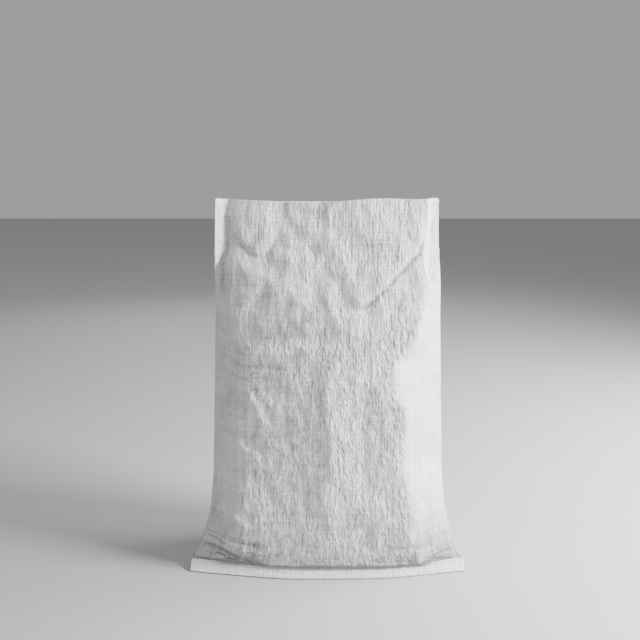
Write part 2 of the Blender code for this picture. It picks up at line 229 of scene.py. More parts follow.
# How finely the pieces are divided, and the outer row where the turned-in cloth may end
COLUMNS = 240
FINE_STEPS = 4000
BASE_STEPS, BACK_STEPS, SIDE_STEPS = 16, 40, 60
STRIP_ROWS = 5
STRIP_START = 0.14
FAN_ROWS = 104
UPPER_ROWS = 54
ROLL_ROWS = 5
CUFF_ROWS = 26
CUFF_FOOT = STRIP_ROWS + FAN_ROWS - 30
HEM_COLUMNS = 300
HEM_BACK_ROWS, HEM_TURN_ROWS, HEM_FRONT_ROWS = 12, 9, 16
ARC_STEPS = 8
CEMENT_COLUMNS = 144
CEMENT_FOOT = 6
CEMENT_TOP_ROWS = 14

# Strokes and facets of the crumpled cloth, and pulled tapes along and across it: width,
# length, the weight of the relief and the weight of the tone
# The tones of the crumpled strokes and facets are painted shade and glints of the crinkles
LEVEL = (0.0042, 0.022, 0.087, 0.21)
UPRIGHT = (0.0058, 0.020, 0.29, 0.21)
WIDE = (0.0105, 0.034, 0.377, 0.175)
FACETS = (0.013, 0.030, 0.90, 0.49)
WARP = (0.0044, 0.11, 0.12, 0.36)
WEFT = (0.0044, 0.09, 0.12, 0.36)
CRUMPLE_MEAN = 0.651
TONE_BASE = -0.115
STROKE_SHAPE = 1.6
FACET_SHARE = 0.45

# How such a pattern's lines waver: waves per length, and the reach in shares of the length
FACET_DRIFT, STROKE_DRIFT = (0.5, (1.3, 0.7, 0.0)), (0.35, (1.1, 0.9, 0.0))

# The weave's tones, by tape, as painted sheen on every other crossing and as painted glints at
# random crossings, the weights of tone and relief, the darkening towards the bottom, the painted
# shade where the cloth meets the floor, and the painted shade along sharp folds
TAPE_TONE, PARITY_TONE, CROSSING_TONE = 0.25, 0.12, 0.38
WEFT_SHIFT = 417.0
WEAVE_TONE, WEAVE_RELIEF = 0.50, 0.12
DUST_TONE, DUST_GRAINS = 0.50, (240.0, 16.0)
GRAIN_RELIEF, GRAIN_TONE = 0.35, 0.3
FOOT_TONE, FOOT_HEIGHT = -0.45, 0.16
GROUND_TONE, GROUND_HEIGHTS = -0.7, (0.0006, 0.0030)
FOLD_PAINTED_SHADE, LINE_RELIEF = 0.55, 0.8
CLOTH_TONES, CLOTH_SHEEN, CLOTH_RELIEF = (0.34, 1.20), (0.34, 0.56), 0.0046

# Points nearer than this are merged, at a tube's seam and at the cement's closed ends
SEAM_MERGE, END_MERGE = 1e-6, 1e-5

FLOOR_SIZE = 12.0
WORLD_COLOUR = (0.90, 0.92, 0.95, 1.0)
WORLD_STRENGTH = 0.42
LIGHTS = (("key", (1.85, -0.52, 1.25), 0.6, 150), ("side", (2.0, 0.35, 1.0), 0.9, 75),
          ("fill", (-0.8, -2.6, 1.8), 2.0, 9), ("back", (-0.5, 2.5, 1.7), 2.0, 16))
CAMERA_LENS, CAMERA_SENSOR = 38, 36
CAMERA_X, CAMERA_AHEAD, CAMERA_Z = -0.0150, 1.193, 0.772
CAMERA_PITCH = math.radians(11.87)


class SackSizes(bpy.types.PropertyGroup):
    """The sizes of the cloth and its details that can be changed."""

    cloth_thickness: FloatProperty(
        name="Cloth thickness", description="Thickness of the woven cloth",
        default=0.0006, min=0.0002, max=0.002, unit="LENGTH")
    tape_width: FloatProperty(
        name="Tape width", description="Width of one woven tape",
        default=0.0028, min=0.001, max=0.006, unit="LENGTH")
    roll_radius: FloatProperty(
        name="Mouth roll", description="Radius of the fold at the mouth",
        default=0.0026, min=0.001, max=0.01, unit="LENGTH")
    stitch_pitch: FloatProperty(
        name="Stitch pitch", description="Length of one chain stitch",
        default=0.0075, min=0.003, max=0.02, unit="LENGTH")
    thread_thickness: FloatProperty(
        name="Thread thickness", description="Diameter of the sewing thread",
        default=0.0010, min=0.0004, max=0.003, unit="LENGTH")
    crinkle: FloatProperty(
        name="Crinkle", description="Height of the small crinkles in the cloth",
        default=0.0012, min=0.0, max=0.003, unit="LENGTH")


class SackColours(bpy.types.PropertyGroup):
    """The colours of the finishes."""

    cloth: FloatVectorProperty(
        name="Cloth", description="Colour of the woven polypropylene",
        default=(0.80, 0.80, 0.79), subtype="COLOR", min=0.0, max=1.0)
    thread: FloatVectorProperty(
        name="Thread", description="Colour of the sewing thread",
        default=(0.84, 0.83, 0.80), subtype="COLOR", min=0.0, max=1.0)
    cement: FloatVectorProperty(
        name="Cement", description="Colour of the dry powder",
        default=(0.30, 0.30, 0.29), subtype="COLOR", min=0.0, max=1.0)
    floor: FloatVectorProperty(
        name="Floor", description="Colour of the studio floor",
        default=(0.50, 0.49, 0.475), subtype="COLOR", min=0.0, max=1.0)


def sizes():
    return bpy.context.scene.sack_sizes


def colours():
    return bpy.context.scene.sack_colours


def blend(low, high, share):
    return low + (high - low) * share


def ease(share):
    share = np.clip(share, 0.0, 1.0)
    return share * share * (3 - 2 * share)


def ramp(value, start, length):
    """0 up to the start, 1 from a length beyond it, and eased between."""
    return ease((value - start) / length)


def bell(distance):
    return np.exp(-distance * distance)


def soft_min(first, second, softness):
    return -softness * np.log(np.exp(-first / softness) + np.exp(-second / softness))


def by_height(points, z):
    return np.interp(z, *zip(*points))


def waves(places, scale, seed, octaves=3):
    """Fractal noise at each place, the same every run."""
    shift = Vector([seed * step for step in NOISE_STEPS])
    values = [noise.fractal(Vector(place) * scale + shift, 1.0, 2.0, octaves)
              for place in places.reshape(-1, 3)]
    return np.array(values).reshape(places.shape[:-1])


def half_width(z):
    rise = (z - CORNER_Z) / (MOUTH_HEIGHT - CORNER_Z)
    flare = np.maximum(0.0, 1 - (z - CORNER_Z) / FLARE_HEIGHT) ** FLARE_POWER
    body = blend(BODY_WIDTH, MOUTH_WIDTH, rise) + (FLAT_WIDTH - BODY_WIDTH) * flare
    return body / 2 - MOUTH_NARROWING * ramp(z, NARROW_FROM, NARROW_OVER)


def half_depth(z):
    low = blend(BELLY_DEPTH, SHOULDER_DEPTH, ease(z / FILL_HEIGHT)) / 2
    slack = ramp(z, FILL_HEIGHT, MOUTH_HEIGHT - FILL_HEIGHT)
    return np.where(z < FILL_HEIGHT, low, blend(SHOULDER_DEPTH, MOUTH_DEPTH, slack) / 2)


class Path:
    """A line of (y, z) points that is read by the share of its length."""

    def __init__(self, points):
        self.points = np.array(points, float)
        steps = np.hypot(*np.diff(self.points, axis=0).T)
        self.shares = np.concatenate([[0.0], np.cumsum(steps)]) / steps.sum()

    def at(self, share):
        return [np.interp(share, self.shares, values) for values in self.points.T]


def front_path():
    """The front's middle: out over the hem strip, round the bulge and up to the cement's top."""
    points = [(STITCH_Y, STITCH_Z)]
    return Path(points + [(STITCH_Y - ahead, height) for ahead, height in FRONT_BULGE])


def back_path():
    """The back's middle: under the cement, round the bottom and up to the cement's top."""
    back = float(half_depth(BASE_RADIUS))
    points = [(STITCH_Y, STITCH_Z - HEM_THICKNESS), (STITCH_Y + STITCH_Z, 0.0)]
    for turn in np.linspace(0, math.pi / 2, BASE_STEPS):
        y = back - BASE_RADIUS * (1 - math.sin(turn))
        points.append((y, BASE_RADIUS * (1 - math.cos(turn))))
    for z in np.linspace(BASE_RADIUS, FILL_HEIGHT, BACK_STEPS)[1:]:
        points.append((float(half_depth(z)), z))
    return Path(points)


def side_path():
    """The side creases, from the hem's ends back to the middle and up to the cement's top."""
    z = np.linspace(CORNER_Z, FILL_HEIGHT, SIDE_STEPS)
    return Path(list(zip(STITCH_Y * (1 - ramp(z, CORNER_Z, CREASE_RISE)), z)))


FRONT, BACK, SIDE = front_path(), back_path(), side_path()


def corner(across, front, z):
    """Where a panel turns into its side, as a share of the half width."""
    edge = np.where(across > 0, by_height(RIGHT_CORNER, z), by_height(LEFT_CORNER, z))
    edge = np.where(front, edge, by_height(BACK_CORNER, z)) / half_width(z)
    slow = CORNER_SLOW[0] * np.sin(CORNER_SLOW[1] * z + 1.0)
    return edge * (1 + slow + CORNER_QUICK[0] * np.sin(CORNER_QUICK[1] * z + across))


def looseness(across, front, z):
    """How crumpled the cloth is: most on the panels, least on the sides and pressed corners."""
    inside = (corner(across, front, z) - np.abs(across)) * half_width(z)
    panel = blend(FULL_CRUMPLE, SLACK_CRUMPLE, ramp(z, FILL_HEIGHT, CRUMPLE_CHANGE))
    return blend(TAUT, panel, ramp(inside, -TAUT_EDGE / 2, TAUT_EDGE))


def profile(across, front, z):
    """How far out the cloth stands, from 0 at the side creases to 1 in the middle."""
    turned_away = np.where(across < 0, LEFT_RECEDE * np.minimum(1.0, -across / RECEDE_REACH), 0.0)
    edge = corner(across, front, z)
    inward = 1 - np.abs(across)
    steep = (1 - PANEL_CURVE * edge ** 2) / (1 - edge)
    flank = steep * (np.sqrt((inward + CREASE_ROUND) ** 2 - CREASE_ROUND ** 2))
    top = 1 - PANEL_CURVE * across ** 2 - np.where(front, turned_away, 0.0)
    softness = np.where(front, np.where(across < 0, SOFT_LEFT, SOFT_RIGHT), SOFT_BACK)
    body = np.maximum(0.0, soft_min(top, flank, softness)) * ease(inward * CREASE_HOLD)
    power = np.where(front, MOUTH_FRONT, MOUTH_BACK)
    lens = (1 - np.abs(across) ** power) ** (1 / power)
    return blend(body, lens, ramp(z, LENS_FROM, LENS_OVER))


def pinched_ears(rows, front):
    """The two upper corners, pressed flat into strips that begin at a fold."""
    x, y, z = rows[..., 0], rows[..., 1], rows[..., 2]
    out = np.abs(x) / half_width(z)
    start = np.where(x < 0, by_height(EAR_LEFT, z), by_height(EAR_RIGHT, z))
    soft = np.minimum(np.where(front, EAR_ROUND_FRONT, EAR_ROUND_BACK), 1 - start)
    share = ramp(out, np.where(front, start, 1 - soft), soft) * ramp(z, EAR_FOOT, EAR_RISE)
    slope = np.where(x < 0, EAR_SLOPE_LEFT, EAR_SLOPE_RIGHT)
    moved = rows.copy()
    moved[..., 1] = blend(y, EAR_DEPTH + slope * (out - start) * half_width(z), share)
    return moved


def hem_bend(x):
    """How far the hem's ends lie behind its middle."""
    return HEM_SWEEP * (2 * x / FLAT_WIDTH) ** 2 + HEM_WAVE[0] * np.sin(HEM_WAVE[1] * x + 1.0)


def hem_point(x, up, offset):
    """A place on the hem strip: its distance up from the fold, and off the middle of the strip."""
    down = HEM_STRIP - up
    y = STITCH_Y + hem_bend(x) - down * math.sin(HEM_LEAN) - offset * math.cos(HEM_LEAN)
    z = CORNER_Z - down * math.cos(HEM_LEAN) + offset * math.sin(HEM_LEAN)
    return np.stack([x, y, np.maximum(z, HEM_CLEARANCE)], axis=-1)


def strip_row(across, front, share):
    """A row inside the hem, from its fold up to the stitch line."""
    x = across * (FLAT_WIDTH / 2 - HEM_END)
    apart = LAYER_GAP * np.minimum(1.0, (1 - np.abs(across)) * LAYER_CLOSE)
    places = hem_point(x, HEM_STRIP * share, np.where(front, apart, -apart))
    return np.concatenate([places, np.zeros((len(x), 1))], axis=1)


def fan_row(across, front, share):
    """A row of the full body, between the stitch line and the top of the cement."""
    side_y, side_z = SIDE.at(share)
    front_y, front_z = FRONT.at(share)
    back_y, back_z = BACK.at(share)
    out = profile(across, front, float(side_z))
    middle_y = np.where(front, front_y, back_y)
    middle_z = np.where(front, front_z, back_z)
    x = across * (half_width(side_z) - HEM_END * (1 - ease(END_FADE * share)))
    y = blend(side_y, middle_y, out) + hem_bend(x) * (1 - ease(BEND_FADE * share))
    z = blend(side_z, middle_z, np.minimum(1.0, BASE_PRESS * out ** BASE_CURVE))
    room = np.hypot(middle_y - side_y, middle_z - side_z) * out
    return np.stack([x, y, np.maximum(z, 0.0), room], axis=1)


def upper_row(across, front, z):
    """A level row of the slack cloth above the cement."""
    out = profile(across, front, z)
    x = across * half_width(z)
    crease = -CREASE_LEAN * ramp(z, NARROW_FROM, NARROW_OVER)
    middle = np.where(front, -1, 1) * half_depth(z)
    y = blend(crease, middle, out)
    return np.stack([x, y, np.full_like(x, z), np.abs(middle - crease) * out], axis=1)


def columns():
    """Places across the sack, evenly spaced along a section of the full body."""
    turn = np.linspace(0, 2 * math.pi, FINE_STEPS + 1)
    row = upper_row(np.cos(turn), np.sin(turn) > 0, FILL_HEIGHT)[:, :3]
    steps = np.linalg.norm(np.diff(row, axis=0), axis=1)
    length = np.concatenate([[0.0], np.cumsum(steps)])
    even = np.interp(np.linspace(0, length[-1], COLUMNS + 1), length, turn)[:-1]
    return np.cos(even), np.sin(even) > 0


class Crease:
    """One fold, given in millimetres: a bent line of places on a panel, its rise, its half
    width, its shelf and, as a number, its sharpness, the strength of the painted shade and the
    groove along its line."""

    def __init__(self, points, rise, width, shelf=0, sharp=0):
        self.points = np.array(points) / 1000
        self.rise, self.width, self.shelf = rise / 1000, width / 1000, shelf / 1000
        self.sharp = sharp

    def reach(self, x, z):
        """Each place's distance from the line, its side of it, and the fold's strength there."""
        best = np.full(x.shape, np.inf)
        side = np.zeros(x.shape)
        along = np.zeros(x.shape)
        starts, ends = self.points[:-1], self.points[1:]
        for count, (start, end) in enumerate(zip(starts, ends)):
            run = end - start
            share = ((x - start[0]) * run[0] + (z - start[1]) * run[1]) / run.dot(run)
            share = np.clip(share, 0, 1)
            dx, dz = x - start[0] - share * run[0], z - start[1] - share * run[1]
            away = np.hypot(dx, dz)
            nearer = away < best
            side = np.where(nearer, np.sign(run[0] * dz - run[1] * dx), side)
            along = np.where(nearer, (count + share) / len(starts), along)
            best = np.where(nearer, away, best)
        return best, side, ease(along * FOLD_FADE) * ease((1 - along) * FOLD_FADE)

    def lift(self, x, z):
        """How far the fold moves the cloth outwards at each place."""
        best, side, fade = self.reach(x, z)
        off = best / self.width
        crest = np.exp(-(np.hypot(off, CREST_ROUND) - CREST_ROUND) * CREST_FALL)
        step = np.tanh(side * off) * bell(off / SHELF_REACH)
        return (self.rise * crest + self.shelf * step) * fade


# Each fold's line of (x, z) places, its rise, its half width and its shelf, in millimetres, and
# its sharpness, the strength of the painted shade and the groove along its line
FRONT_CREASES = [Crease(*fold) for fold in (
    # The small swag under the mouth, at the left
    ([(-178, 720), (-172, 672), (-150, 642), (-128, 632), (-108, 641), (-94, 668), (-90, 690)],
      -3.6, 8, 3, 0.45),
    ([(-86, 770), (-78, 715), (-74, 690), (-66, 672)], -4, 12),
    # The large swag across the slack upper front
    ([(-82, 720), (-48, 665), (-8, 618), (16, 586), (34, 552), (44, 520)], -3.6, 20, 0, 0.1),
    ([(16, 534), (62, 540), (100, 572), (136, 604), (162, 636), (174, 668), (176, 730)],
      -4, 9, 3.4, 0.9),
    # The hollow above the cement and the shoulder below it
    ([(-180, 488), (-150, 476), (-68, 482), (50, 496)], -5, 13),
    ([(-170, 450), (-141, 447), (-68, 456), (40, 470)], 4.4, 12),
    # Soft wrinkles across the left side
    ([(-215, 440), (-141, 426), (-65, 424)], -4.4, 6, 0, 0.3),
    ([(-215, 412), (-160, 404), (-100, 401)], -3.4, 6, 0, 0.25),
    ([(-215, 376), (-160, 378), (-100, 384)], -2.4, 7, 0, 0.15),
    # Short slanting folds low on the left
    ([(-160, 400), (-148, 376), (-133, 340), (-122, 302)], 3.2, 6, -1.4),
    ([(-200, 300), (-179, 278), (-153, 256), (-126, 244)], 4.2, 6, -1.6),
    ([(-212, 155), (-197, 139), (-173, 118), (-150, 106)], 3.6, 6, -1.4),
    ([(-258, 62), (-234, 55), (-200, 44), (-172, 33), (-142, 27), (-112, 21)], -4, 7, 2.2, 0.8),
    ([(-225, 96), (-196, 80), (-164, 68), (-120, 62)], -5.6, 10, 0, 0.2),
    ([(-240, 128), (-212, 108), (-180, 98)], -6, 11),
    # The gap over the hem's loose edge: no rise, only a painted shadow line with its groove
    ([(-262, 25), (-200, 22.5), (-90, 20), (90, 20), (200, 22.5), (262, 25)], 0, 3, 0, 1.5),
    # The upright ridge in the middle and the hollow to its right
    ([(-2, 440), (-1, 360), (1, 263), (5, 135), (12, 70)], 4, 26),
    ([(62, 420), (66, 330), (70, 230), (74, 140)], -3.5, 20),
    # Folds that run down from the pinched upper corners
    ([(-179, 770), (-180, 700), (-184, 660), (-192, 622), (-200, 584), (-203, 560)],
      -7.5, 6.5, 0, 0.6),
    ([(176, 700), (179, 650), (186, 615), (197, 575)], -4, 7),
    ([(120, 700), (140, 672), (165, 650)], -1.5, 8),
    ([(150, 500), (115, 470), (85, 462)], -2.2, 10),
    # Small folds where the body bulges over the hem
    ([(80, 110), (66, 70), (60, 40)], -2.5, 8),
    ([(212, 58), (186, 56), (160, 60), (130, 62)], -3.4, 9, 1, 0.3),
    ([(190, 34), (150, 31), (100, 31), (60, 32)], -2, 6, 1, 0.4),
    ([(262, 40), (235, 36), (205, 26), (180, 22)], -2, 6, 1, 0.45),
    ([(-60, 95), (-75, 60), (-78, 38)], -1.8, 7),
)]

# Folds of the back, which the photograph doesn't show
BACK_CREASES = [Crease(*fold) for fold in (
    ([(-172, 690), (-128, 628), (-70, 578), (-20, 556), (24, 552)], -4.4, 12, 3.2, 0.2),
    ([(-6, 536), (60, 560), (110, 606), (140, 654), (150, 700)], -5, 13, 3, 0.15),
    ([(40, 740), (30, 690), (34, 640)], -3.6, 14),
    ([(160, 510), (80, 500), (-30, 503), (-140, 512)], -3.8, 11),
    ([(150, 478), (60, 474), (-70, 480), (-150, 476)], 3, 12),
    ([(176, 760), (177, 700), (186, 630), (202, 560)], -4.5, 9),
    ([(-176, 760), (-177, 700), (-186, 630), (-200, 565)], -4.5, 9),
    ([(30, 440), (46, 340), (34, 230), (10, 110)], 5.2, 26),
    ([(-70, 430), (-58, 300), (-70, 180), (-96, 110)], -4.6, 22),
    ([(100, 420), (94, 300), (80, 200)], -3.4, 18),
    ([(210, 400), (150, 392), (100, 386)], -1.8, 8),
    ([(-205, 330), (-150, 322), (-95, 330)], -1.8, 8),
    ([(-190, 140), (-150, 100), (-100, 78), (-50, 70)], -3, 9, 1.4, 0.3),
    ([(200, 190), (166, 140), (138, 100), (96, 66)], 3, 8, -1.2),
    ([(210, 120), (180, 86), (150, 62)], -2.8, 7),
    ([(-126, 380), (-120, 330), (-104, 284), (-98, 240)], 2.6, 7, -1),
    ([(128, 330), (116, 290), (112, 244)], 2.4, 7, 1),
)]


def smooth_rows(across, front):
    """The sack without its folds, row by row from inside the hem up to the mouth."""
    inside = np.linspace(STRIP_START, 1, STRIP_ROWS, endpoint=False)
    rows = [strip_row(across, front, share) for share in inside]
    rows += [fan_row(across, front, share) for share in np.linspace(0, 1, FAN_ROWS)]
    brim = MOUTH_HEIGHT - sizes().roll_radius
    rows += [upper_row(across, front, z) for z in np.linspace(FILL_HEIGHT, brim, UPPER_ROWS + 1)[1:]]
    rows = np.array(rows)
    top = ramp(rows[..., 2], FILL_HEIGHT, MOUTH_HEIGHT - FILL_HEIGHT)
    rows[..., 2] += top * rim_height(across, front)
    return pinched_ears(rows, front)


def rim_height(across, front):
    """How far the mouth stands above or below its mean height."""
    wave = sum(height * bell((across - place) / reach) for height, place, reach in RIM_WAVES)
    wave = np.where(front, wave, RIM_BACK * wave - RIM_BACK_DROP)
    return wave + RIM_CORNER * np.abs(across) ** RIM_CORNER_POWER - RIM_DROP


def outward(rows):
    """Unit normals of a tube of rows, pointing out of the sack."""
    up = np.gradient(rows, axis=0)
    around = np.roll(rows, -1, axis=1) - np.roll(rows, 1, axis=1)
    normals = np.cross(up, around)
    return normals / np.maximum(np.linalg.norm(normals, axis=2, keepdims=True), TINY)


def drifted(places):
    """The x and z of each place, shifted a little so that the folds' lines waver."""
    shift_x, shift_z = [FOLD_DRIFT * waves(places, *kind) for kind in DRIFT_NOISE]
    return places[..., 0] + shift_x, places[..., 2] + shift_z


def fold_lines(places, front):
    """The distance to the nearest sharp fold, with its side, and how sharp it is there, which sets
    its painted shade and groove.
    """
    x, z = drifted(places)
    away, sharp = np.full(x.shape, FOLD_LINE_REACH), np.zeros(x.shape)
    for creases, here in ((FRONT_CREASES, front), (BACK_CREASES, ~front)):
        for crease in creases:
            if crease.sharp > 0:
                best, side, fade = crease.reach(x, z)
                nearer = here & (best < np.abs(away))
                away = np.where(nearer, side * best, away)
                sharp = np.where(nearer, crease.sharp * fade, sharp)
    return away, sharp


def fold_lift(places, front, fine):
    """How far the folds, bulges and crinkles move each place outwards."""
    x, z = drifted(places)
    lift = np.where(front, sum(crease.lift(x, z) for crease in FRONT_CREASES),
                    sum(crease.lift(x, z) for crease in BACK_CREASES))
    slack = ramp(places[..., 2], FILL_HEIGHT, SLACK_CHANGE)
    lift += blend(*SWELL, slack) * waves(places, *SWELL_NOISE)
    dimples = np.abs(waves(places * np.array(DIMPLE_STRETCH), *DIMPLE_NOISE))
    lift -= blend(*DIMPLE, slack) * (dimples - DIMPLE_MEAN)
    if fine:
        upright = places * np.array(CRINKLE_STRETCH)
        strength = CRINKLE_MEAN + CRINKLE_SPREAD * waves(places, *CRINKLE_NOISE)
        ridged = 0.5 - 2 * np.abs(waves(upright, *RIDGE_NOISE))
        lift += sizes().crinkle * strength * (ridged + waves(upright, *RIPPLE_NOISE))
    return lift


def folded(rows, across, front, fine=True):
    """The rows of the cloth with their folds, held flat at the hem and on the floor."""
    places, steps = rows[..., :3], np.arange(len(rows))[:, None]
    out = np.abs(across)
    held = ease((steps - STRIP_ROWS) / blend(*HOLD_ROWS, ramp(out, *HOLD_TURN)))
    held = held * ease(places[..., 2] / HOLD_FLOOR) * ease((1 - out) * HOLD_SIDE)
    lift = fold_lift(places, front, fine) * held
    room = np.maximum(HOLLOW_SHARE * rows[..., 3], LEAST_ROOM)
    lift = np.where(lift < 0, -room * np.tanh(-lift / room), lift)
    moved = places + outward(places) * lift[..., None]
    moved[..., 2] = np.maximum(moved[..., 2], FLOOR_GAP)
    return moved


def layer_room(row, front):
    """How far apart the front and the back are at each place of a row."""
    ahead, behind = [side[np.argsort(side[:, 0])] for side in (row[front], row[~front])]
    near, far = [np.interp(row[:, 0], side[:, 0], side[:, 1]) for side in (ahead, behind)]
    return np.maximum(far - near, 0.0)


def cloth_rows(across, front):
    """Every row of the cloth, from inside the hem over the mouth to the cut edge, and its marks."""
    smooth = smooth_rows(across, front)
    line_away, line_sharp = fold_lines(smooth[..., :3], front)
    loose = looseness(across, front, smooth[..., 2])
    rows = folded(smooth, across, front)
    normals = outward(rows)
    room = np.array([layer_room(row, front) for row in rows])
    radius = np.minimum(sizes().roll_radius, ROLL_SHARE * room[-1])
    ahead = np.where(front, 1.0, -1.0) * np.sqrt(1 - across ** 2)
    depth = blend(CUFF_BACK, CUFF_FRONT, (1 + ahead) / 2)
    outer = np.concatenate([rows, normals, room[..., None]], axis=2)[CUFF_FOOT:]
    hidden = ((0, ROLL_ROWS + CUFF_ROWS), (0, 0))
    # Marks for the material: the sharp folds' distance and sharpness, for the painted shade along
    # them, and the cloth's looseness
    marks = {"fold_away": np.pad(line_away, hidden, constant_values=FOLD_LINE_REACH),
             "fold_sharpness": np.pad(line_sharp, hidden),
             "looseness": np.pad(loose, hidden, mode="edge")}
    rolled = roll_rows(rows[-1], normals[-1], radius)
    return np.concatenate([rows, rolled, cuff_rows(outer, radius, depth)]), marks


def roll_rows(brim, normals, radius):
    """The mouth's fold, as rows that turn inwards over the brim."""
    level = normals * np.array([1.0, 1.0, 0.0])
    level /= np.linalg.norm(level, axis=1, keepdims=True)
    rows = []
    for turn in np.linspace(0, math.pi, ROLL_ROWS + 2)[1:-1]:
        sideways = level * radius[:, None] * (1 - math.cos(turn))
        upwards = radius[:, None] * math.sin(turn) * np.array([0.0, 0.0, 1.0])
        rows.append(brim - sideways + upwards)
    return rows


def cuff_rows(outer, radius, depth):
    """The turned-in cloth, as rows down to its ragged cut edge behind the outer cloth.

    The outer cloth is given as its places, its normals and its room in one array.
    """
    steps = np.arange(len(depth))
    ragged = RAGGED * np.prod([np.sin(steps * turns) for turns in RAGGED_TURNS], axis=0)
    heights = outer[..., 2]
    rows = []
    for share in np.linspace(0, 1, CUFF_ROWS):
        row = []
        for column, height in enumerate(heights[-1] - share * (depth + ragged)):
            here = np.array([np.interp(height, heights[:, column], values)
                             for values in outer[:, column].T])
            apart = 2 * radius[column] + CUFF_SLACK * ease(share * 2)
            row.append(here[:3] - here[3:6] * min(apart, CUFF_SHARE * here[6]))
        rows.append(row)
    return rows


def new_piece(name, mesh, material, replaced):
    """A finished piece from its mesh, with its material and its place in the record."""
    data = bpy.data.meshes.new(name)
    mesh.to_mesh(data)
    mesh.free()
    data.shade_smooth()
    data.materials.append(material)
    piece = bpy.data.objects.new(name, data)
    bpy.context.scene.collection.objects.link(piece)
    if replaced:
        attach(piece, "root")
        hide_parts(replaced)
    return piece


def grid_mesh(rows, wide, long, **marks):
    """A sheet as a grid lifted onto its rows, with its size in metres as its UV map."""
    last_row, last_column = rows.shape[0] - 1, rows.shape[1] - 1
    mesh = bmesh.new()
    uv = mesh.loops.layers.uv.new("cloth")
    for name in marks:
        mesh.verts.layers.float.new(name)
    bmesh.ops.create_grid(mesh, x_segments=last_column, y_segments=last_row, size=1.0)
    for vertex in mesh.verts:
        column = round((vertex.co.x + 1) / 2 * last_column)
        row = round((vertex.co.y + 1) / 2 * last_row)
        for loop in vertex.link_loops:
            loop[uv].uv = (column / last_column * wide, row / last_row * long)
        vertex.co = rows[row, column]
        for name, values in marks.items():
            vertex[mesh.verts.layers.float[name]] = values[row, column]
    return mesh


def closed(values):
    """Rows whose first column comes once more at their end."""
    return np.concatenate([values, values[:, :1]], axis=1)


def tube_mesh(rows, wide, long, **marks):
    """A grid whose two long edges are joined."""
    marks = {name: closed(values) for name, values in marks.items()}
    mesh = grid_mesh(closed(rows), wide, long, **marks)
    bmesh.ops.remove_doubles(mesh, verts=mesh.verts, dist=SEAM_MERGE)
    bmesh.ops.recalc_face_normals(mesh, faces=mesh.faces)
    return mesh


def thicken(piece, thickness):
    """Gives a sheet its wall, inwards from its outer face, and applies it."""
    wall = piece.modifiers.new("wall", "SOLIDIFY")
    wall.thickness = thickness
    wall.offset = -1.0
    graph = bpy.context.evaluated_depsgraph_get()
    solid = bpy.data.meshes.new_from_object(piece.evaluated_get(graph))
    piece.modifiers.clear()
    piece.data = solid
    solid.shade_smooth()


def fill(tree, node, sockets):
    """Fills a node's sockets from values or from other nodes' outputs."""
    for socket, value in sockets.items():
        if isinstance(value, bpy.types.NodeSocket):
            tree.links.new(value, node.inputs[socket])
        else:
            node.inputs[socket].default_value = value
    return node


def add(tree, kind, sockets=None, **settings):
    """A new node with its settings and its filled sockets."""
    made = tree.nodes.new(kind)
    for name, value in settings.items():
        setattr(made, name, value)
    return fill(tree, made, sockets or {})


def maths(tree, operation, *values):
    return add(tree, "ShaderNodeMath", dict(enumerate(values)), operation=operation).outputs[0]


def plus(tree, first, second):
    return maths(tree, "ADD", first, second)


def times(tree, first, second):
    return maths(tree, "MULTIPLY", first, second)


def weighed(tree, value, weight, rest):
    """A value times its weight, added to the rest."""
    return maths(tree, "MULTIPLY_ADD", value, weight, rest)


def ranged(tree, value, start, end, low, high):
    """Turns the values from start to end into values from low to high."""
    return add(tree, "ShaderNodeMapRange", {"Value": value, "From Min": start, "From Max": end,
                                            "To Min": low, "To Max": high}).outputs[0]


def vectors(tree, operation, sockets):
    return add(tree, "ShaderNodeVectorMath", sockets, operation=operation).outputs[0]


def split(tree, vector):
    return add(tree, "ShaderNodeSeparateXYZ", {0: vector}).outputs


def joined(tree, *values):
    return add(tree, "ShaderNodeCombineXYZ", dict(enumerate(values))).outputs[0]


def clouds(tree, place, scale, detail, roughness=0.5):
    """Soft noise: its value and its colour."""
    return add(tree, "ShaderNodeTexNoise", {"Vector": place, "Scale": scale, "Detail": detail,
                                            "Roughness": roughness}).outputs


def chances(tree, dimensions, socket, value):
    """Random numbers and colours, one for each whole number or pair of numbers."""
    return add(tree, "ShaderNodeTexWhiteNoise", {socket: value}, noise_dimensions=dimensions).outputs


def mark(tree, name):
    """A number that the piece's mesh has at each point."""
    return add(tree, "ShaderNodeAttribute", attribute_name=name).outputs["Fac"]


def new_group(name, *numbers):
    """An effect that materials share. A place and numbers go in, a height and a tone come out."""
    group = bpy.data.node_groups.new(name, "ShaderNodeTree")
    group.interface.new_socket("Place", in_out="INPUT", socket_type="NodeSocketVector")
    for title in numbers:
        group.interface.new_socket(title, in_out="INPUT", socket_type="NodeSocketFloat")
    for title in ("Height", "Tone"):
        group.interface.new_socket(title, in_out="OUTPUT", socket_type="NodeSocketFloat")
    return group, group.nodes.new("NodeGroupInput").outputs


def finished(group, height, tone):
    """The group with its height and tone handed out."""
    fill(group, group.nodes.new("NodeGroupOutput"), {"Height": height, "Tone": tone})
    return group


def placed(tree, name, build, sockets):
    """A shared effect, built once, put into a material with its own values."""
    holder = tree.nodes.new("ShaderNodeGroup")
    holder.node_tree = bpy.data.node_groups.get(name) or build()
    return fill(tree, holder, sockets).outputs


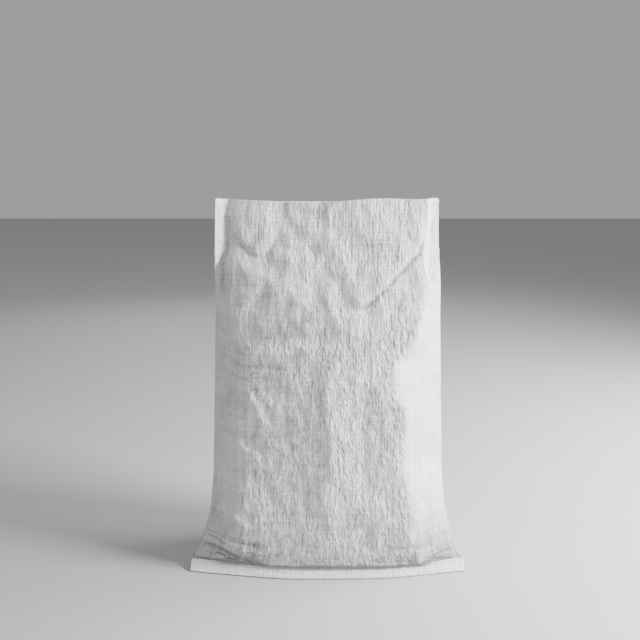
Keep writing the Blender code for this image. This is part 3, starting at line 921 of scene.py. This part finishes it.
def weave_group():
    """A plain weave of flat tapes: its height, and how light each tape is, with painted sheen on
    every other crossing and painted glints at random crossings.

    A tape's crest falls with the cube of the distance from its middle, to 0 at its edges.
    """
    group, given = new_group("woven_tapes", "Tape Width")
    per_metre = maths(group, "DIVIDE", 1.0, given["Tape Width"])
    cells = vectors(group, "SCALE", {0: given["Place"], "Scale": per_metre})
    crests, counts, tones = [], [], []
    for axis, shift in (("X", 0.0), ("Y", WEFT_SHIFT)):
        along = split(group, cells)[axis]
        edge = maths(group, "ABSOLUTE", plus(group, maths(group, "FRACT", along), -0.5))
        crests.append(weighed(group, maths(group, "POWER", edge, 3.0), -8.0, 1.0))
        counts.append(maths(group, "FLOOR", along))
        tones.append(chances(group, "1D", "W", plus(group, counts[-1], shift))["Value"])
    crossing = chances(group, "2D", "Vector", vectors(group, "FLOOR", {0: cells}))["Value"]
    parity = maths(group, "PINGPONG", plus(group, *counts), 1.0)
    tone = weighed(group, plus(group, *tones), TAPE_TONE, times(group, parity, PARITY_TONE))
    return finished(group, times(group, *crests), weighed(group, crossing, CROSSING_TONE, tone))


def drifting(group, given, rate, reach):
    """The given place moved about, so that the lines of a pattern waver."""
    scale = maths(group, "DIVIDE", rate, given["Length"])
    drift = clouds(group, given["Place"], scale, 2.0)["Color"]
    amount = vectors(group, "SCALE", {0: reach, "Scale": given["Length"]})
    return vectors(group, "MULTIPLY_ADD", {0: drift, 1: amount, 2: given["Place"]})


def crumple_group():
    """Cloth crumpled into upright facets: its height, and how light each facet is, as painted shade
    and glints.
    """
    group, given = new_group("crumpled_cloth", "Width", "Length")
    size = joined(group, given["Width"], given["Length"], given["Width"])
    bent = vectors(group, "DIVIDE", {0: drifting(group, given, *FACET_DRIFT), 1: size})
    facets = add(group, "ShaderNodeTexVoronoi", {"Vector": bent, "Scale": 1.0},
                 voronoi_dimensions="2D").outputs
    wavy = clouds(group, bent, 1.0, 3.0, 0.6)[0]
    tone = split(group, facets["Color"])[0]
    return finished(group, weighed(group, facets["Distance"], FACET_SHARE, wavy),
                    weighed(group, tone, FACET_SHARE, wavy))


def strokes_group():
    """Short raised strokes side by side in columns, as pulled tapes show: height and tone."""
    group, given = new_group("pulled_tapes", "Width", "Length")
    moved = split(group, drifting(group, given, *STROKE_DRIFT))
    across = maths(group, "DIVIDE", moved["X"], given["Width"])
    column = maths(group, "FLOOR", across)
    shift = chances(group, "1D", "W", column)["Value"]
    along = plus(group, maths(group, "DIVIDE", moved["Y"], given["Length"]), shift)
    chance = chances(group, "2D", "Vector", joined(group, column, maths(group, "FLOOR", along)))
    dome = times(group, arched(group, across), arched(group, along))
    tone = plus(group, split(group, chance["Color"])[1], -0.5)
    return finished(group, times(group, dome, chance["Value"]), weighed(group, tone, dome, 0.5))


def arched(tree, place):
    """1 in the middle of each unit of a value, and 0 where the units meet."""
    middle = plus(tree, maths(tree, "FRACT", place), -0.5)
    return maths(tree, "POWER", weighed(tree, times(tree, middle, middle), -4.0, 1.0), STROKE_SHAPE)


def grain_group():
    """Fine grains and soft lumps of a dry powder or a dusty surface."""
    group, given = new_group("dry_grain", "Grains", "Lumps")
    fine = clouds(group, given["Place"], given["Grains"], 4.0, 0.7)[0]
    broad = clouds(group, given["Place"], given["Lumps"], 3.0)[0]
    return finished(group, weighed(group, fine, GRAIN_RELIEF, broad),
                    weighed(group, broad, 1 - GRAIN_TONE, times(group, fine, GRAIN_TONE)))


def new_material(name, roughness=0.5):
    material = bpy.data.materials.new(name)
    material.use_nodes = True
    shader = material.node_tree.nodes["Principled BSDF"]
    shader.inputs["Roughness"].default_value = roughness
    return material, material.node_tree, shader


def object_place(tree):
    return add(tree, "ShaderNodeTexCoord").outputs["Object"]


def tinted(tree, shader, colour, tone, low, high):
    """Base colour from one colour, darker and lighter by a tone."""
    lightness = ranged(tree, tone, 0.0, 1.0, low, high)
    shade = vectors(tree, "SCALE", {0: tuple(colour), "Scale": lightness})
    tree.links.new(shade, shader.inputs["Base Color"])


def bumped(tree, shader, height, distance):
    bump = add(tree, "ShaderNodeBump", {"Height": height, "Distance": distance, "Strength": 1.0})
    tree.links.new(bump.outputs[0], shader.inputs["Normal"])


def grain_over(tree, place, grains, lumps):
    return placed(tree, "dry_grain", grain_group,
                  {"Place": place, "Grains": grains, "Lumps": lumps})


def grained(name, colour, roughness, grains, lumps, tones, relief=0.0):
    """A material of grains and lumps, so many to the metre, with its tones and its relief."""
    made, tree, shader = new_material(name, roughness)
    grain = grain_over(tree, object_place(tree), grains, lumps)
    tinted(tree, shader, colour, grain["Tone"], *tones)
    if relief:
        bumped(tree, shader, grain["Height"], relief)
    return made


def cloth_material():
    """Woven white polypropylene: flat glossy tapes, crumpled on the panels and slightly dusty."""
    made, tree, shader = new_material("woven_polypropylene")
    woven(tree, shader, mark(tree, "looseness"), FOOT_TONE)
    return made


def hem_material():
    """The same cloth where it is folded and sewn flat."""
    made, tree, shader = new_material("hem_polypropylene")
    woven(tree, shader, HEM_CRUMPLE, 0.0)
    return made


def woven(tree, shader, crumpled, foot_tone):
    """Colour, sheen and relief of the woven tapes, crumpled and darker towards the bottom as it is
    told. Its crinkles carry painted shade and glints, and painted shade lies where it meets the
    floor and along sharp folds.
    """
    upright = add(tree, "ShaderNodeUVMap", uv_map="cloth").outputs[0]
    sides = split(tree, upright)
    turned = joined(tree, sides["Y"], sides["X"])

    def stroke(place, kind, name="pulled_tapes", build=strokes_group):
        return placed(tree, name, build, {"Place": place, "Width": kind[0], "Length": kind[1]}), kind

    def summed(strokes, output, rest):
        for made, (*_, relief, tone) in strokes:
            rest = weighed(tree, made[output], relief if output == "Height" else tone, rest)
        return rest

    crumples = [stroke(turned, LEVEL), stroke(upright, UPRIGHT), stroke(upright, WIDE),
                stroke(upright, FACETS, "crumpled_cloth", crumple_group)]
    bands = [stroke(upright, WARP), stroke(turned, WEFT)]
    weave = placed(tree, "woven_tapes", weave_group,
                   {"Place": upright, "Tape Width": sizes().tape_width})
    spot = object_place(tree)
    dust = grain_over(tree, spot, *DUST_GRAINS)
    line = fold_line(tree)

    tone = summed(bands, "Tone", TONE_BASE)
    tone = weighed(tree, weave["Tone"], WEAVE_TONE, weighed(tree, dust["Tone"], DUST_TONE, tone))
    # Painted shade and glints of the crinkles, as strong as the cloth is crumpled
    tone = weighed(tree, summed(crumples, "Tone", -CRUMPLE_MEAN), crumpled, tone)
    above = split(tree, spot)["Z"]
    # Darker towards the bottom, and painted shade just above the floor
    tone = plus(tree, tone, ranged(tree, above, 0.0, FOOT_HEIGHT, foot_tone, 0.0))
    tone = plus(tree, tone, ranged(tree, above, *GROUND_HEIGHTS, GROUND_TONE, 0.0))
    # Painted shade along the sharp folds' lines, darkening the colour there
    tinted(tree, shader, colours().cloth, weighed(tree, line, -FOLD_PAINTED_SHADE, tone), *CLOTH_TONES)
    tree.links.new(ranged(tree, weave["Tone"], 0.0, 1.0, *CLOTH_SHEEN), shader.inputs["Roughness"])

    relief = weighed(tree, weave["Height"], WEAVE_RELIEF, summed(bands, "Height", 0.0))
    relief = weighed(tree, summed(crumples, "Height", 0.0), crumpled, relief)
    bumped(tree, shader, weighed(tree, line, -LINE_RELIEF, relief), CLOTH_RELIEF)


def fold_line(tree):
    """1 along the sharp folds' lines, falling to 0 beside them: where their painted shade and groove
    lie.
    """
    apart = maths(tree, "DIVIDE", mark(tree, "fold_away"), FOLD_LINE_WIDTH)
    narrow = maths(tree, "EXPONENT", times(tree, times(tree, apart, apart), -1.0))
    return times(tree, narrow, mark(tree, "fold_sharpness"))


def powder_material():
    """Dry grey cement powder."""
    return grained("cement_powder", colours().cement, roughness=0.95, grains=900.0, lumps=38.0,
                   tones=(0.55, 1.45), relief=0.0035)


def thread_material():
    """Twisted white sewing thread."""
    made = bpy.data.materials.get("sewing_thread")
    if made:
        return made
    made, tree, shader = new_material("sewing_thread", 0.6)
    plies = add(tree, "ShaderNodeTexWave", {"Vector": object_place(tree), "Scale": 180.0,
                                            "Distortion": 1.5},
                wave_type="BANDS", bands_direction="DIAGONAL").outputs["Fac"]
    tinted(tree, shader, colours().thread, plies, 0.78, 1.05)
    bumped(tree, shader, plies, 0.0002)
    return made


class SACK_OT_cloth(bpy.types.Operator):
    """Makes the woven tube with its folds and its turned-in mouth"""

    bl_idname = "sack.cloth"
    bl_label = "Woven cloth"

    def execute(self, context):
        across, front = columns()
        rows, marks = cloth_rows(across, front)
        mesh = tube_mesh(rows, 2 * FLAT_WIDTH, CUT_LENGTH, **marks)
        piece = new_piece("woven_cloth", mesh, cloth_material(), "sack")
        thicken(piece, sizes().cloth_thickness)
        return {"FINISHED"}


class SACK_OT_hem(bpy.types.Operator):
    """Makes the folded and stitched strip along the bottom of the front"""

    bl_idname = "sack.hem"
    bl_label = "Hem"

    def execute(self, context):
        x = np.linspace(-1, 1, HEM_COLUMNS + 1) * FLAT_WIDTH / 2
        rows = np.array([self.row(x, up, offset) for up, offset in self.section()])
        mesh = grid_mesh(rows, FLAT_WIDTH, HEM_FRONT_EDGE + HEM_BACK_EDGE)
        bmesh.ops.recalc_face_normals(mesh, faces=mesh.faces)
        piece = new_piece("hem_band", mesh, hem_material(), "sack")
        thicken(piece, HEM_CLOTH)
        return {"FINISHED"}

    def section(self):
        """The strip's section round its fold, as (distance up, offset) pairs."""
        back = np.linspace(HEM_BACK_EDGE, HEM_HALF, HEM_BACK_ROWS)
        front = np.linspace(HEM_HALF, HEM_FRONT_EDGE, HEM_FRONT_ROWS)
        fold = [(HEM_HALF * (1 - math.sin(turn)), -HEM_HALF * math.cos(turn))
                for turn in np.linspace(0, math.pi, HEM_TURN_ROWS)[1:-1]]
        return [(up, -HEM_HALF) for up in back] + fold + [(up, HEM_HALF) for up in front]

    def row(self, x, up, offset):
        """One row of the band, pulled in at each stitch and loose at its cut edge."""
        flat = np.stack([x, np.full_like(x, up), np.full_like(x, offset)], axis=1)
        off = HEM_RIPPLE * ease(up / HEM_RIPPLE_OVER) * np.abs(waves(flat, *HEM_RIPPLE_NOISE))
        beat = 1 + PULL_BEAT * np.cos(2 * math.pi * x / sizes().stitch_pitch)
        off -= PULL * bell((up - STITCH_UP) / PULL_REACH) * beat
        if offset > 0:
            lifted = HEM_LIFT[0] + HEM_LIFT[1] * np.abs(waves(flat, *HEM_LIFT_NOISE))
            off += lifted * ramp(up, STITCH_UP + HEM_LIFT_FROM, HEM_LIFT_OVER)
        return hem_point(x, up, offset + math.copysign(1, offset) * off)


class SACK_OT_threads(bpy.types.Operator):
    """Makes the stitches of the two threads that close the sack"""

    bl_idname = "sack.threads"
    bl_label = "Sewing threads"

    def execute(self, context):
        self.sew("needle_stitches", "needle_thread", 1, self.needle_stitch)
        self.sew("looper_stitches", "looper_thread", -1, self.looper_stitch)
        return {"FINISHED"}

    def arc(self, mesh, share, height, lean=0.0, depth=0.0):
        """A bent length of thread, leaning over from its two ends, which lie at a depth."""
        before = set(mesh.verts)
        chord = share * sizes().stitch_pitch
        radius = chord * chord / (8 * height) + height / 2
        half = math.asin(chord / 2 / radius)
        made = bmesh.ops.create_circle(mesh, segments=THREAD_SIDES, cap_ends=True,
                                       radius=sizes().thread_thickness / 2)["verts"]
        turn = Matrix.Rotation(math.pi / 2, 3, "Y")
        bmesh.ops.rotate(mesh, cent=(0, 0, 0), matrix=turn, verts=made)
        turn = Matrix.Rotation(-half, 3, "Y")
        bmesh.ops.rotate(mesh, cent=(0, 0, -radius), matrix=turn, verts=made)
        faces = list({face for vertex in made for face in vertex.link_faces})
        bmesh.ops.spin(mesh, geom=faces, cent=(0, 0, -radius), axis=(0, 1, 0),
                       angle=2 * half, steps=ARC_STEPS, use_duplicate=False)
        fresh = [vertex for vertex in mesh.verts if vertex not in before]
        bmesh.ops.translate(mesh, vec=(0, 0, height), verts=fresh)
        bmesh.ops.rotate(mesh, cent=(0, 0, 0), matrix=Matrix.Rotation(lean, 3, "X"), verts=fresh)
        bmesh.ops.translate(mesh, vec=(0, 0, -depth), verts=fresh)

    def needle_stitch(self, mesh):
        """A short stitch that dives into the cloth at its two ends."""
        self.arc(mesh, *NEEDLE_ARC, depth=NEEDLE_ARC[1])

    def looper_stitch(self, mesh):
        """The two legs of a chain link, leaning over to its two sides."""
        for lean in (-LOOPER_LEAN, LOOPER_LEAN):
            self.arc(mesh, *LOOPER_ARC, lean=lean)

    def sew(self, name, node, side, stitch):
        """Makes one stitch after another along the hem, each standing on the cloth there."""
        mesh = bmesh.new()
        pitch = sizes().stitch_pitch
        count = int((FLAT_WIDTH - 2 * STITCH_MARGIN) / pitch)
        for number in range(count):
            x = (number - (count - 1) / 2) * pitch
            before = set(mesh.verts)
            stitch(mesh)
            fresh = [vertex for vertex in mesh.verts if vertex not in before]
            bmesh.ops.transform(mesh, matrix=self.seat(x, side), verts=fresh)
        bmesh.ops.recalc_face_normals(mesh, faces=mesh.faces)
        new_piece(name, mesh, thread_material(), node)

    def seat(self, x, side):
        """Where a stitch sits, with its first axis along the hem and its last off the cloth."""
        here, ahead = [Vector(hem_point(np.array(place), STITCH_UP, side * (HEM_HALF + THREAD_GAP)))
                       for place in (x, x + sizes().thread_thickness)]
        off = Vector((0, -math.cos(HEM_LEAN), math.sin(HEM_LEAN))) * side
        along = (ahead - here).normalized()
        across = off.cross(along).normalized()
        turn = Matrix((along, across, along.cross(across))).transposed().to_4x4()
        return Matrix.Translation(here) @ turn


class SACK_OT_cement(bpy.types.Operator):
    """Makes the body of cement with its heaped top"""

    bl_idname = "sack.cement"
    bl_label = "Cement"

    def execute(self, context):
        turn = np.linspace(0, 2 * math.pi, CEMENT_COLUMNS, endpoint=False)
        across, front = np.cos(turn) * CEMENT_WIDTH, np.sin(turn) > 0
        rows = folded(smooth_rows(across, front), across, front, fine=False)
        rows = rows[STRIP_ROWS + CEMENT_FOOT:STRIP_ROWS + FAN_ROWS - 1]
        inward = self.middle(rows) - rows
        reach = np.linalg.norm(inward, axis=2, keepdims=True)
        inset = np.minimum(CEMENT_INSET, CEMENT_INSET_SHARE * reach)
        rings = rows + inward / np.maximum(reach, TINY) * inset
        middle = self.middle(rings)
        base = [blend(middle[0], rings[0], share) for share in (0.0, 0.5)]
        top = [self.heaped(blend(middle[-1], rings[-1], share), across, share)
               for share in np.linspace(1, 0, CEMENT_TOP_ROWS + 1)[1:]]
        mesh = tube_mesh(np.concatenate([base, rings, top]), 1.0, 1.0)
        bmesh.ops.remove_doubles(mesh, verts=mesh.verts, dist=END_MERGE)
        bmesh.ops.recalc_face_normals(mesh, faces=mesh.faces)
        new_piece("cement_body", mesh, powder_material(), "cement_fill")
        return {"FINISHED"}

    def middle(self, rows):
        """Half way from each place of a ring to the place opposite on its other side."""
        return (rows + np.roll(rows[:, ::-1], 1, axis=1)) / 2

    def heaped(self, row, across, share):
        """One row of the top, raised into a heap with lumps and hollows."""
        heap = FILL_MOUND * (1 - share ** 2) * (1 - np.abs(across) ** HEAP_POWER)
        lumps = LUMP * waves(row, *LUMP_NOISE) + CLOD * waves(row, *CLOD_NOISE)
        row[:, 2] += heap + lumps * ease((1 - share) * LUMP_HOLD)
        return row


class SACK_OT_studio(bpy.types.Operator):
    """Makes the floor, the lights and the camera"""

    bl_idname = "sack.studio"
    bl_label = "Studio"

    def execute(self, context):
        mesh = bmesh.new()
        bmesh.ops.create_grid(mesh, x_segments=1, y_segments=1, size=FLOOR_SIZE)
        material = grained("studio_floor", colours().floor, roughness=0.85, grains=90.0, lumps=2.0,
                           tones=(0.96, 1.03))
        new_piece("floor", mesh, material, None)
        world = bpy.data.worlds.new("studio")
        world.use_nodes = True
        background = world.node_tree.nodes["Background"].inputs
        background["Color"].default_value = WORLD_COLOUR
        background["Strength"].default_value = WORLD_STRENGTH
        context.scene.world = world
        for light in LIGHTS:
            self.light(context, *light)
        self.camera(context)
        return {"FINISHED"}

    def light(self, context, name, place, size, power):
        lamp = bpy.data.lights.new(name, "AREA")
        lamp.shape = "SQUARE"
        lamp.size = size
        lamp.energy = power
        holder = bpy.data.objects.new(name, lamp)
        holder.location = place
        aim = Vector((0, 0, MOUTH_HEIGHT / 2)) - Vector(place)
        holder.rotation_euler = aim.to_track_quat("-Z", "Y").to_euler()
        context.scene.collection.objects.link(holder)

    def camera(self, context):
        view = bpy.data.cameras.new("camera")
        view.lens = CAMERA_LENS
        view.sensor_width = CAMERA_SENSOR
        holder = bpy.data.objects.new("camera", view)
        tip = STITCH_Y - HEM_STRIP * math.sin(HEM_LEAN)
        holder.location = (CAMERA_X, tip - CAMERA_AHEAD, CAMERA_Z)
        holder.rotation_euler = (math.pi / 2 - CAMERA_PITCH, 0, 0)
        context.scene.collection.objects.link(holder)
        context.scene.camera = holder


class SACK_PT_panel(bpy.types.Panel):
    """Lists the pieces of the sack with their sizes and colours"""

    bl_idname = "SACK_PT_panel"
    bl_label = "Cement sack"
    bl_space_type = "VIEW_3D"
    bl_region_type = "UI"
    bl_category = "Sack"

    def draw(self, context):
        for operator in OPERATORS:
            self.layout.operator(operator.bl_idname)
        for group in (context.scene.sack_sizes, context.scene.sack_colours):
            for name in group.bl_rna.properties.keys():
                if name not in ("rna_type", "name"):
                    self.layout.prop(group, name)


OPERATORS = (SACK_OT_studio, SACK_OT_cloth, SACK_OT_hem, SACK_OT_threads, SACK_OT_cement)
CLASSES = (SackSizes, SackColours, *OPERATORS, SACK_PT_panel)


def register():
    for made in CLASSES:
        bpy.utils.register_class(made)
    bpy.types.Scene.sack_sizes = PointerProperty(type=SackSizes)
    bpy.types.Scene.sack_colours = PointerProperty(type=SackColours)


def unregister():
    del bpy.types.Scene.sack_colours
    del bpy.types.Scene.sack_sizes
    for made in reversed(CLASSES):
        bpy.utils.unregister_class(made)


def main():
    register()
    bpy.ops.sack.studio()
    bpy.ops.sack.cloth()
    bpy.ops.sack.hem()
    bpy.ops.sack.threads()
    bpy.ops.sack.cement()


if __name__ == "__main__":
    main()
